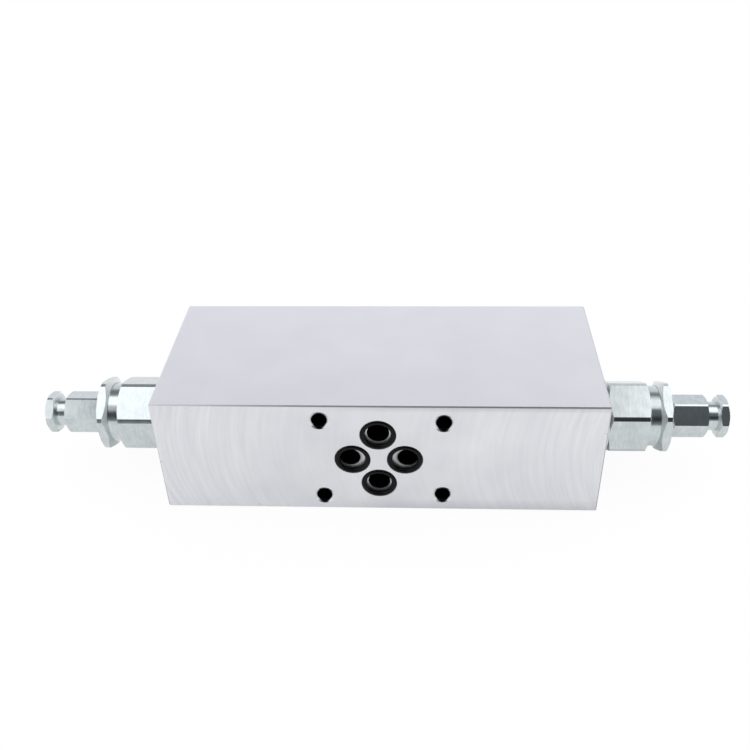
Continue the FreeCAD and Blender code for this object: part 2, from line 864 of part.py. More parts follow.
def make_outer_seat(side):
    """The outer spring seat: a sealed disc that the adjuster pushes along the spring chamber."""
    seat = cartridge_body("outer_spring_seat", side)
    disc = chamber_radius - running_gap
    floor = chamber_radius - seat_groove_depth
    groove_start = outer_seat_start + (outer_seat_length - seat_groove_width) / 2
    groove_end = groove_start + seat_groove_width
    boss_start = outer_seat_start - spring_boss_length
    turned(
        seat,
        "outer_seat_solid",
        [
            (ZERO, boss_start),
            (spring_boss_radius, boss_start),
            (spring_boss_radius, outer_seat_start),
            (disc, outer_seat_start),
            (disc, groove_start),
            (floor, groove_start),
            (floor, groove_end),
            (disc, groove_end),
            (disc, outer_seat_end),
            (ZERO, outer_seat_end),
        ],
    )
    middle = (groove_start + groove_end) / 2
    make_pressed_ring("seat_ring", side, floor, disc, middle, seal_width)


def make_adjuster(side):
    """The adjuster: threaded shank, long hexagon, turned groove and hexagonal end button."""
    clock = adjuster_clock_a if side == "a" else adjuster_clock_b
    shank = setting_thread_radius - running_gap
    core = adjuster_groove_radius
    adjuster = cartridge_body("adjuster", side)
    turned(
        adjuster,
        "adjuster_core",
        [
            (ZERO, outer_seat_end),
            (shank - adjuster_tip_bevel, outer_seat_end),
            (shank, outer_seat_end + adjuster_tip_bevel),
            (shank, adjuster_start),
            (core, adjuster_start),
            (core, adjuster_end),
            (ZERO, adjuster_end),
        ],
    )
    hexagon(adjuster, "key_hexagon", adjuster_flats, adjuster_start, adjuster_hex_length, clock)
    hexagon(adjuster, "end_button", adjuster_flats, button_start, adjuster_button_length, clock)
    turn_corners(
        adjuster,
        "hexagon_corners",
        adjuster_flats,
        adjuster_land_radius,
        (adjuster_start, adjuster_neck),
        (adjuster_hex_bevel, adjuster_hex_bevel),
    )
    turn_corners(
        adjuster,
        "button_corners",
        adjuster_flats,
        adjuster_land_radius,
        (button_start, adjuster_end),
        (button_bevel, button_bevel),
    )


def make_coil(label, side, start, length, radius, wire, turns):
    """A coil spring of square wire between two seats."""
    spring = cartridge_body(label, side)
    half = wire / 2
    sketch = sketch_on(spring, "wire_section", "XZ_Plane", start, "y")
    low = seat_gap
    high = seat_gap + wire
    inner = radius - half
    outer = radius + half
    draw_outline(sketch, [(inner, low), (outer, low), (outer, high), (inner, high)])
    coil = spring.newObject("PartDesign::AdditiveHelix", "coil")
    coil.Profile = sketch
    coil.ReferenceAxis = (sketch, ["V_Axis"])
    coil.Mode = 0
    climb = length - wire - seat_gap * 2
    bind(coil, "Pitch", climb / turns)
    bind(coil, "Height", climb)


def make_springs(side):
    make_coil(
        "main_spring",
        side,
        inner_seat_top,
        main_spring_length,
        main_spring_radius,
        main_spring_wire,
        main_spring_turns,
    )
    make_coil(
        "check_spring",
        side,
        -clip_back,
        clip_back - check_end,
        check_spring_radius,
        check_spring_wire,
        check_spring_turns,
    )


def make_retaining_clip(side):
    """The open spring clip in the sleeve's nose that the check spring rests on."""
    clip = cartridge_body("retaining_clip", side)
    rim = clip_bore_radius - ring_gap
    back = -clip_back - seat_gap
    front = seat_gap - clip_front
    corners = [(clip_inner_radius, front), (rim, front), (rim, back), (clip_inner_radius, back)]
    ring = spin(clip, "PartDesign::Revolution", "clip_solid", corners)
    bind(ring, "Angle", as_size(360) - clip_opening)


def make_pressed_ring(label, side, inner, outer, middle, width):
    """A seal ring squeezed in its groove: a ring of flats with its four edges broken."""
    ring = cartridge_body(label, side)
    near = inner + ring_gap
    bevel = (outer - near) * 0.3
    top = middle + width / 2
    foot = middle - width / 2
    turned(
        ring,
        "ring_solid",
        [
            (near + bevel, foot),
            (outer - bevel, foot),
            (outer, foot + bevel),
            (outer, top - bevel),
            (outer - bevel, top),
            (near + bevel, top),
            (near, top - bevel),
            (near, foot + bevel),
        ],
    )


def make_backup_ring(label, side, inner, outer, foot):
    """A flat ring beside a seal, which keeps it from being squeezed out of its groove."""
    ring = cartridge_body(label, side)
    near = inner + ring_gap
    top = foot + backup_width
    turned(ring, "ring_solid", [(near, foot), (outer, foot), (outer, top), (near, top)])


def make_shank_seals(side):
    mouth = mouth_radius - ring_gap
    make_pressed_ring("mouth_ring", side, mouth_seal_bed, mouth, mouth_length / -2, seal_width)
    floor = middle_land_radius - seal_depth
    rim = middle_land_radius - ring_gap / 2
    make_pressed_ring("middle_ring", side, floor, rim, -middle_seal, seal_width)
    side_room = middle_groove_width / 2 - ring_gap
    outer_foot = side_room - backup_width - middle_seal
    make_backup_ring("middle_backup_outer", side, floor, rim, outer_foot)
    make_backup_ring("middle_backup_inner", side, floor, rim, -side_room - middle_seal)
    floor = nose_land_radius - seal_depth
    rim = nose_land_radius - ring_gap / 2
    side_room = nose_groove_width / 2 - ring_gap
    backup_foot = side_room - backup_width - nose_seal
    make_backup_ring("nose_backup", side, floor, rim, backup_foot)
    ring_middle = seal_width / 2 - side_room - nose_seal
    make_pressed_ring("nose_ring", side, floor, rim, ring_middle, seal_width)


def make_cartridge(side):
    make_housing(side)
    make_sleeve(side)
    make_check_poppet(side)
    make_relief_poppet(side)
    make_inner_seat(side)
    make_outer_seat(side)
    make_adjuster(side)
    make_springs(side)
    make_retaining_clip(side)
    make_shank_seals(side)


def check_and_export():
    """Stop on any object that failed, then write one file for each piece."""
    doc.recompute()
    for item in doc.Objects:
        if "Invalid" in item.State or "Error" in item.State:
            raise RuntimeError(f"{item.Label} failed: {item.State}")
    os.makedirs("parts", exist_ok=True)
    for body in doc.findObjects("PartDesign::Body"):
        shape = body.Shape
        if shape.isNull() or not shape.isValid():
            raise RuntimeError(f"{body.Label} has no valid shape")
        if len(shape.Solids) != 1:
            raise RuntimeError(f"{body.Label} has {len(shape.Solids)} solids")
        shape.exportStep(os.path.join("parts", f"{body.Label}.step"))
        print(body.Label, round(shape.Volume, 2))


make_plate()
make_plugs()
make_port_rings()
for side in SIDES:
    make_cartridge(side)
check_and_export()
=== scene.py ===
import math

import bmesh
import bpy
from mathutils import Euler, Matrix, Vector


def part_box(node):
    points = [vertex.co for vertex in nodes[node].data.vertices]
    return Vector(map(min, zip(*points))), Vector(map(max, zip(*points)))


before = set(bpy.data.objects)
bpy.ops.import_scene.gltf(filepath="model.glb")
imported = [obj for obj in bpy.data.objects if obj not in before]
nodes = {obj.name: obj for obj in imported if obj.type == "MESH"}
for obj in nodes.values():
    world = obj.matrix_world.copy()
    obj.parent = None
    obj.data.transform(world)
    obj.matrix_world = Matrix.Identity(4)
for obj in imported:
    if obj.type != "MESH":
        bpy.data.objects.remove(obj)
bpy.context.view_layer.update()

# The looks of a load-holding brake valve: a milled aluminium sandwich plate with black seal rings
# in its ports, and a bright zinc-plated cartridge in each end. Lengths are in metres, in the frame
# of the CAD model: +X along the plate, +Y into it from the ringed face, +Z up.

MM = 0.001

# The plate's own sizes, read from the frame
plate_low, plate_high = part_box("valve_plate")
PLATE_LENGTH = plate_high.x - plate_low.x
PLATE_DEPTH = plate_high.y - plate_low.y
PLATE_HEIGHT = plate_high.z - plate_low.z

# Down to this depth, a point counts as on a face of the plate
FACE_SKIN = 0.02 * MM

# The ports and their ring recesses lie within this reach of the middle, the bolt holes beyond it
PORT_ZONE = (15.2 * MM, 15.6 * MM)
LOAD_PORT_REACH = 8.75 * MM
# Just under the floors of the ring recesses, which are 1.35 mm deep
RECESS_LIMIT = 1.42 * MM

# The countersinks of the bolt holes
BOLT_MOUTH_DEPTH = 0.5 * MM
BOLT_MOUTH_WIDTH = 0.9 * MM
BOLT_MOUTH_TILT = math.atan2(BOLT_MOUTH_DEPTH, BOLT_MOUTH_WIDTH)

# The camera, solved from the plate's corners and its port pattern
CAMERA_PLACE = Vector((14.236, -225.178, 193.758)) * MM
CAMERA_TURN = (54.7784, 1.5173, 2.6146)
CAMERA_CLIP = (0.01, 20.0)
SENSOR_WIDTH = 36.0
LENS = 42.67

# The studio, as angles in degrees round the plate's length: 0 is the horizon behind the object,
# 90 is overhead and 180 is the horizon on the camera's side. Each stop is an angle, a grey level
# and how far the grey leans to blue.
STUDIO_STOPS = [
    (0, 1.04, 0.04),
    (26, 0.96, 0.04),
    (37, 0.91, 0.04),
    (44, 0.46, 0.03),
    (56, 0.22, 0.02),
    (63, 0.24, 0.02),
    (70, 0.34, 0.01),
    (78, 0.52, 0.0),
    (90, 0.45, 0.0),
    (98, 0.45, 0.0),
    (106, 0.55, 0.0),
    (116, 0.90, 0.0),
    (126, 0.53, 0.01),
    (150, 0.72, 0.02),
    (180, 1.00, 0.02),
]
# A black card beside the camera. Its upper and its lower edge, in degrees, are given at two
# places along the room, as the sideways part of a direction. It fades out over CARD_EDGE degrees
# beyond them, and at its left end.
CARD_STOPS = [
    (130, 0.17, 0.12),
    (141, 0.15, 0.12),
    (150, 0.03, 0.08),
    (162, 0.03, 0.08),
    (170, 0.17, 0.08),
    (184, 0.30, 0.08),
]
CARD_PLACES = (-0.30, -0.10)
CARD_UPPER_EDGE = (140, 120)
CARD_LOWER_EDGE = (177, 184)
CARD_EDGE = 7
CARD_FADE = (-0.44, -0.41)
# White cards: at the far left in front, to the left overhead, and two to the right overhead. Each
# has its level, the sideways places where it begins and is full, and the angles of its two edges.
WHITE_CARDS = [
    (1.75, (-0.371, -0.381), (106, 116), (136, 144)),
    (1.40, (-0.200, -0.260), (76, 84), (112, 120)),
    (0.87, (0.200, 0.235), (58, 74), (102, 110)),
    (1.65, (0.256, 0.268), (58, 74), (102, 110)),
]
# The even light of the room on surfaces that aren't shiny
AMBIENT = 1.1

# The table top is FLOOR_GAP below the plate. The share of plain white in it is given for the
# camera, and for reflections in metal at places along it in mm: it is brightest to the left.
FLOOR_HALF_WIDTH = 2.5
FLOOR_GAP = 0.05 * MM
FLOOR_WHITE_FOR_CAMERA = 0.93
FLOOR_WHITE_STOPS = [
    (-104, 1.0),
    (-92, 0.5),
    (-60, 0.4),
    (60, 0.4),
    (80, 0.2),
    (98, 0.2),
    (108, 0.6),
]
FLOOR_STOPS_REACH = 200

SOFTBOX_HEIGHT = 0.80
SOFTBOX_SIZE = (1.9, 0.55)
SOFTBOX_CENTRE_Y = -0.084
SOFTBOX_LEVEL = 0.4


def colour(code):
    """An sRGB hex colour as linear red, green, blue and alpha."""
    parts = [int(code[start : start + 2], 16) / 255 for start in (0, 2, 4)]
    linear = [
        part / 12.92 if part <= 0.04045 else ((part + 0.055) / 1.055) ** 2.4 for part in parts
    ]
    return (*linear, 1.0)


def add_node(tree, kind, settings=(), inputs=()):
    """Add a node with its settings. Each input gets a plain value or a link from a socket, and a
    node given as an input stands for its first output."""
    node = tree.nodes.new(kind)
    for name, value in dict(settings).items():
        setattr(node, name, value)
    for name, value in dict(inputs).items():
        if isinstance(value, bpy.types.Node):
            value = value.outputs[0]
        if isinstance(value, bpy.types.NodeSocket):
            tree.links.new(value, node.inputs[name])
        else:
            node.inputs[name].default_value = value
    return node


def cool_grey(level, lean):
    """A grey of a level, leaning to blue by a share of it."""
    return (level * (1 - lean / 2), level, level * (1 + lean), 1.0)


def set_stops(ramp, stops):
    """Give a colour ramp its (position, colour) stops."""
    elements = ramp.color_ramp.elements
    while len(elements) > 1:
        elements.remove(elements[-1])
    elements[0].position, elements[0].color = stops[0]
    for position, shade in stops[1:]:
        elements.new(position).color = shade


def new_material(name, **values):
    """A material with one Principled shader, whose constant values sit on its own sockets."""
    material = bpy.data.materials.new(name)
    material.use_nodes = True
    shader = material.node_tree.nodes["Principled BSDF"]
    for label, value in values.items():
        shader.inputs[label.replace("_", " ")].default_value = value
    return material, material.node_tree, shader


def plate_depths(tree, place):
    """How deep a point of the plate lies below its end, port and long faces."""
    centred = add_node(
        tree,
        "ShaderNodeVectorMath",
        {"operation": "SUBTRACT"},
        {0: place, 1: (0.0, PLATE_DEPTH / 2, 0.0)},
    )
    spread = add_node(tree, "ShaderNodeVectorMath", {"operation": "ABSOLUTE"}, {0: centred})
    inwards = add_node(
        tree,
        "ShaderNodeVectorMath",
        {"operation": "SUBTRACT"},
        {0: (PLATE_LENGTH / 2, PLATE_DEPTH / 2, PLATE_HEIGHT / 2), 1: spread},
    )
    return add_node(tree, "ShaderNodeSeparateXYZ", inputs={"Vector": inwards}).outputs


def cutter_lines(tree, x, y, z):
    """The cutter's path: arcs of its radius, one behind the other along the plate."""
    cutter_radius = 62 * MM
    cutter_height = 4 * MM
    from_middle = add_node(
        tree, "ShaderNodeMath", {"operation": "SUBTRACT"}, {0: z, 1: cutter_height}
    )
    squared = add_node(
        tree, "ShaderNodeMath", {"operation": "MULTIPLY"}, {0: from_middle, 1: from_middle}
    )
    rest = add_node(
        tree, "ShaderNodeMath", {"operation": "SUBTRACT"}, {0: cutter_radius**2, 1: squared}
    )
    sagitta = add_node(tree, "ShaderNodeMath", {"operation": "SQRT"}, {0: rest})
    along = add_node(tree, "ShaderNodeMath", {"operation": "ADD"}, {0: x, 1: sagitta})
    # A real pass is 0.2 mm from the next. They are drawn here about 1.6 mm apart, as uneven lines
    # that fade in and out along their arcs, so that they show.
    line_spacing = 1.613 * MM
    line_depth = 250 * MM
    line_length = 33.3 * MM
    marks = add_node(tree, "ShaderNodeCombineXYZ", inputs={"X": along, "Y": y, "Z": z})
    stretched = add_node(
        tree,
        "ShaderNodeMapping",
        inputs={"Vector": marks, "Scale": (1 / line_spacing, 1 / line_depth, 1 / line_length)},
    )
    return add_node(
        tree,
        "ShaderNodeTexNoise",
        inputs={"Vector": stretched, "Scale": 1.0, "Detail": 3.0, "Roughness": 0.6},
    )


def milled_shades(tree, place, reach, lines, on_long_face):
    """The colour of the milled faces. The arcs show towards the plate's ends, and hardly in its
    middle or on its long faces, where there are only patches from handling."""
    patch_size = 20 * MM
    calm_middle = (25 * MM, 62 * MM)
    calm_shares = (0.75, 0.15)
    tone_spread = (0.30, 0.70)
    port_face_shades = ("d7d8dd", "e6e7eb")
    # The long faces are painted paler: painted light, for the top face lit from overhead
    long_face_lit_shades = ("f2f1f6", "f6f6fa")
    patches = add_node(
        tree,
        "ShaderNodeTexNoise",
        inputs={"Vector": place, "Scale": 1 / patch_size, "Detail": 2.0},
    )
    calm_by_place = add_node(
        tree,
        "ShaderNodeMapRange",
        inputs={
            "Value": reach,
            "From Min": calm_middle[0],
            "From Max": calm_middle[1],
            "To Min": calm_shares[0],
            "To Max": calm_shares[1],
        },
    )
    calm = add_node(
        tree, "ShaderNodeMath", {"operation": "MAXIMUM"}, {0: calm_by_place, 1: on_long_face}
    )
    tone = add_node(
        tree,
        "ShaderNodeMix",
        {"data_type": "FLOAT"},
        {"Factor": calm, "A": lines.outputs["Fac"], "B": patches.outputs["Fac"]},
    )
    port_face, long_face = [
        add_node(tree, "ShaderNodeValToRGB", inputs={"Fac": tone}) for _ in range(2)
    ]
    for ramp, shades in ((port_face, port_face_shades), (long_face, long_face_lit_shades)):
        set_stops(ramp, [(stop, colour(shade)) for stop, shade in zip(tone_spread, shades)])
    return add_node(
        tree,
        "ShaderNodeMix",
        {"data_type": "RGBA"},
        {
            "Factor": on_long_face,
            "A": port_face.outputs["Color"],
            "B": long_face.outputs["Color"],
        },
    )


def edge_shades(tree, x, z):
    """The colour of the broken edges, with painted shade in it: darker towards the bottom, and
    darker to the right."""
    # Painted shade: the lower edge is painted darker than the upper one
    shaded_lower_edge, upper_shade = "a2a2a8", "dcdce1"
    painted_dark_edge = "9a9aa0"
    # Painted shade that darkens the edges to the right
    edge_shade_zone = (-60 * MM, -25 * MM)
    edge_shade_most = 0.55
    up_edge = add_node(
        tree,
        "ShaderNodeMapRange",
        inputs={"Value": z, "From Min": -PLATE_HEIGHT / 2, "From Max": PLATE_HEIGHT / 2},
    )
    edges = add_node(
        tree,
        "ShaderNodeMix",
        {"data_type": "RGBA"},
        {"Factor": up_edge, "A": colour(shaded_lower_edge), "B": colour(upper_shade)},
    )
    along_edge = add_node(
        tree,
        "ShaderNodeMapRange",
        inputs={
            "Value": x,
            "From Min": edge_shade_zone[0],
            "From Max": edge_shade_zone[1],
            "To Max": edge_shade_most,
        },
    )
    return add_node(
        tree,
        "ShaderNodeMix",
        {"data_type": "RGBA"},
        {"Factor": along_edge, "A": edges.outputs["Result"], "B": colour(painted_dark_edge)},
    )


def edge_band_shade_share(tree, x, z, port_depth):
    """How much painted shade darkens the port faces along their upper and lower edges, from the
    ports to the right."""
    upper_strip = (PLATE_HEIGHT / 2 - 2.4 * MM, PLATE_HEIGHT / 2 - 0.4 * MM)
    lower_strip = (-PLATE_HEIGHT / 2 + 5 * MM, -PLATE_HEIGHT / 2)
    # The most painted shade in the strips along the upper and the lower edge
    upper_band_shade, lower_band_shade = 0.42, 0.34
    starts_at = (-25 * MM, 5 * MM)
    by_upper_edge, by_lower_edge = [
        add_node(
            tree,
            "ShaderNodeMapRange",
            inputs={"Value": z, "From Min": clean, "From Max": grimy, "To Max": most},
        )
        for (clean, grimy), most in ((upper_strip, upper_band_shade), (lower_strip, lower_band_shade))
    ]
    right_of_ports = add_node(
        tree,
        "ShaderNodeMapRange",
        inputs={"Value": x, "From Min": starts_at[0], "From Max": starts_at[1]},
    )
    band_shade = add_node(
        tree, "ShaderNodeMath", {"operation": "MAXIMUM"}, {0: by_upper_edge, 1: by_lower_edge}
    )
    on_port_face = add_node(
        tree, "ShaderNodeMath", {"operation": "LESS_THAN"}, {0: port_depth, 1: FACE_SKIN}
    )
    for mask in (right_of_ports, on_port_face):
        band_shade = add_node(tree, "ShaderNodeMath", {"operation": "MULTIPLY"}, {0: band_shade, 1: mask})
    return band_shade


def nick_share(tree, place, second, on_long_face):
    """Small nicks within 3 mm of the edges, from handling, but none on the long faces."""
    nick_spacing = 1.4286 * MM
    nick_level = (0.70, 0.78)
    nick_zone = (1 * MM, 3 * MM)
    nick_strength = 0.6
    specks = add_node(
        tree,
        "ShaderNodeTexNoise",
        inputs={"Vector": place, "Scale": 1 / nick_spacing, "Detail": 1.0},
    )
    nicks = add_node(
        tree,
        "ShaderNodeMapRange",
        inputs={
            "Value": specks.outputs["Fac"],
            "From Min": nick_level[0],
            "From Max": nick_level[1],
        },
    )
    by_edge = add_node(
        tree,
        "ShaderNodeMapRange",
        inputs={
            "Value": second,
            "From Min": nick_zone[0],
            "From Max": nick_zone[1],
            "To Min": nick_strength,
            "To Max": 0.0,
        },
    )
    off_long_face = add_node(
        tree, "ShaderNodeMath", {"operation": "SUBTRACT"}, {0: 1.0, 1: on_long_face}
    )
    for mask in (by_edge, off_long_face):
        nicks = add_node(tree, "ShaderNodeMath", {"operation": "MULTIPLY"}, {0: nicks, 1: mask})
    return nicks


def mouth_share(tree, off_ports, port_depth, long_depth):
    """1 on the countersinks of the bolt holes, and 0 elsewhere."""
    long_edge_width = 1 * MM
    below_face = add_node(
        tree,
        "ShaderNodeMapRange",
        inputs={
            "Value": port_depth,
            "From Min": FACE_SKIN / 2,
            "From Max": FACE_SKIN * 1.5,
        },
    )
    above_bore = add_node(
        tree,
        "ShaderNodeMath",
        {"operation": "LESS_THAN"},
        {0: port_depth, 1: BOLT_MOUTH_DEPTH + FACE_SKIN},
    )
    off_long_edge = add_node(
        tree, "ShaderNodeMath", {"operation": "GREATER_THAN"}, {0: long_depth, 1: long_edge_width}
    )
    on_mouth = below_face
    for mask in (above_bore, off_ports, off_long_edge):
        on_mouth = add_node(
            tree, "ShaderNodeMath", {"operation": "MULTIPLY"}, {0: on_mouth, 1: mask}
        )
    return on_mouth


def mouth_shade_share(tree, normal, port_depth, on_mouth):
    """Painted shade at the lowest place of each countersink, in a point that narrows outwards."""
    mouth_shade_spread = 0.36
    mouth_shade_curve = 2.2
    mouth_shade_edge = (0.96, 1.02)
    facing = add_node(tree, "ShaderNodeSeparateXYZ", inputs={"Vector": normal})
    # 1 where the countersink faces straight up, and less to both sides
    upward = add_node(
        tree,
        "ShaderNodeMath",
        {"operation": "DIVIDE"},
        {0: facing.outputs["Z"], 1: math.sin(BOLT_MOUTH_TILT)},
    )
    depth_share = add_node(
        tree, "ShaderNodeMath", {"operation": "DIVIDE"}, {0: port_depth, 1: BOLT_MOUTH_DEPTH}
    )
    spreading = add_node(
        tree, "ShaderNodeMath", {"operation": "POWER"}, {0: depth_share, 1: mouth_shade_curve}
    )
    widened = add_node(
        tree,
        "ShaderNodeMath",
        {"operation": "MULTIPLY_ADD"},
        {0: spreading, 1: mouth_shade_spread, 2: upward},
    )
    pointed = add_node(
        tree,
        "ShaderNodeMapRange",
        inputs={"Value": widened, "From Min": mouth_shade_edge[0], "From Max": mouth_shade_edge[1]},
    )
    return add_node(
        tree, "ShaderNodeMath", {"operation": "MULTIPLY"}, {0: pointed, 1: on_mouth}
    )


def hole_shade_share(tree, reach, z, off_ports, nearest):
    """Inside the drilled holes the metal is painted black, a painted shade for the depth that no
    light reaches. The ring recesses are left unpainted down to their floors, except for a ring of
    painted shade round the bores of the two load ports."""
    hole_shade_fade = 0.45 * MM
    rim_shade_radii = (2.0 * MM, 4.1 * MM)
    shade_free_depth = add_node(
        tree,
        "ShaderNodeMapRange",
        inputs={"Value": off_ports, "To Min": RECESS_LIMIT, "To Max": BOLT_MOUTH_DEPTH / 2},
    )
    below = add_node(
        tree, "ShaderNodeMath", {"operation": "SUBTRACT"}, {0: nearest, 1: shade_free_depth}
    )
    inside = add_node(tree, "ShaderNodeMapRange", inputs={"Value": below, "From Max": hole_shade_fade})
    flat_place = add_node(tree, "ShaderNodeCombineXYZ", inputs={"X": reach, "Z": z})
    from_port = add_node(
        tree,
        "ShaderNodeVectorMath",
        {"operation": "DISTANCE"},
        {0: flat_place, 1: (LOAD_PORT_REACH, 0.0, 0.0)},
    )
    bore_rim_shade = add_node(
        tree,
        "ShaderNodeMapRange",
        inputs={
            "Value": from_port.outputs["Value"],
            "From Min": rim_shade_radii[0],
            "From Max": rim_shade_radii[1],
            "To Min": 1.0,
            "To Max": 0.0,
        },
    )
    return add_node(
        tree, "ShaderNodeMath", {"operation": "MAXIMUM"}, {0: inside, 1: bore_rim_shade}
    )


def milled_aluminium():
    """Bare aluminium alloy, face-milled on all sides, with its edges broken. It is pale and satin,
    with shallow arcs across the ported faces where the cutter passed. The long top and bottom
    faces were cut finer, so they show no arcs. They are also painted paler than the ported faces,
    as painted light for the top face under the overhead light."""
    material, tree, shader = new_material("milled_aluminium", Metallic=1.0)
    coordinates = add_node(tree, "ShaderNodeTexCoord")
    place = coordinates.outputs["Object"]
    axes = add_node(tree, "ShaderNodeSeparateXYZ", inputs={"Vector": place})
    x, y, z = axes.outputs["X"], axes.outputs["Y"], axes.outputs["Z"]
    reach = add_node(tree, "ShaderNodeMath", {"operation": "ABSOLUTE"}, {0: x})

    # The depth below the nearest face, and below the second nearest, which is small by an edge
    end_depth, port_depth, long_depth = plate_depths(tree, place)
    low = add_node(
        tree, "ShaderNodeMath", {"operation": "MINIMUM"}, {0: end_depth, 1: port_depth}
    )
    high = add_node(
        tree, "ShaderNodeMath", {"operation": "MAXIMUM"}, {0: end_depth, 1: port_depth}
    )
    nearest = add_node(tree, "ShaderNodeMath", {"operation": "MINIMUM"}, {0: low, 1: long_depth})
    middle = add_node(tree, "ShaderNodeMath", {"operation": "MAXIMUM"}, {0: low, 1: long_depth})
    second = add_node(tree, "ShaderNodeMath", {"operation": "MINIMUM"}, {0: high, 1: middle})

    # Where a point belongs: on a long face, on a broken edge, away from the ports
    edge_width = (0.36 * MM, 0.42 * MM)
    on_long_face = add_node(
        tree,
        "ShaderNodeMapRange",
        inputs={"Value": long_depth, "From Max": FACE_SKIN, "To Min": 1.0, "To Max": 0.0},
    )
    on_edge = add_node(
        tree,
        "ShaderNodeMapRange",
        inputs={
            "Value": second,
            "From Min": edge_width[0],
            "From Max": edge_width[1],
            "To Min": 1.0,
            "To Max": 0.0,
        },
    )
    off_ports = add_node(
        tree,
        "ShaderNodeMapRange",
        inputs={"Value": reach, "From Min": PORT_ZONE[0], "From Max": PORT_ZONE[1]},
    )

    # The colour, from the bare faces to the painted shade along the edges, the edges with their
    # painted shade, the nicks and the painted shade in the holes and countersinks
    lines = cutter_lines(tree, x, y, z)
    on_mouth = mouth_share(tree, off_ports, port_depth, long_depth)
    hole_shade = hole_shade_share(tree, reach, z, off_ports, nearest)
    mouth_shade = mouth_shade_share(tree, coordinates.outputs["Normal"], port_depth, on_mouth)
    # Painted shade: black in the holes and at the bottoms of the countersinks
    dark = add_node(tree, "ShaderNodeMath", {"operation": "MAXIMUM"}, {0: hole_shade, 1: mouth_shade})
    finish = milled_shades(tree, place, reach, lines, on_long_face)
    for share, shade in (
        # Painted shade along the upper and lower edges of the port faces
        (edge_band_shade_share(tree, x, z, port_depth), colour("a4a4aa")),
        (on_edge, edge_shades(tree, x, z).outputs["Result"]),
        (nick_share(tree, place, second, on_long_face), colour("9c9ca2")),
        # The painted shade of the holes and countersinks
        (dark, colour("222225")),
    ):
        finish = add_node(
            tree,
            "ShaderNodeMix",
            {"data_type": "RGBA"},
            {"Factor": share, "A": finish.outputs["Result"], "B": shade},
        )
    tree.links.new(finish.outputs["Result"], shader.inputs["Base Color"])

    # The broken edges are burnished, and the countersinks are the smoothest
    edge_burnish = 0.6
    face_roughness, mouth_roughness = 0.42, 0.22
    edge_gloss = add_node(
        tree, "ShaderNodeMath", {"operation": "MULTIPLY"}, {0: on_edge, 1: edge_burnish}
    )
    smooth = add_node(
        tree, "ShaderNodeMath", {"operation": "MAXIMUM"}, {0: edge_gloss, 1: on_mouth}
    )
    gloss = add_node(
        tree,
        "ShaderNodeMapRange",
        inputs={"Value": smooth, "To Min": face_roughness, "To Max": mouth_roughness},
    )
    tree.links.new(gloss.outputs[0], shader.inputs["Roughness"])
    relief = add_node(
        tree,
        "ShaderNodeBump",
        inputs={"Height": lines.outputs["Fac"], "Strength": 0.08, "Distance": 0.02 * MM},
    )
    tree.links.new(relief.outputs["Normal"], shader.inputs["Normal"])
    return material


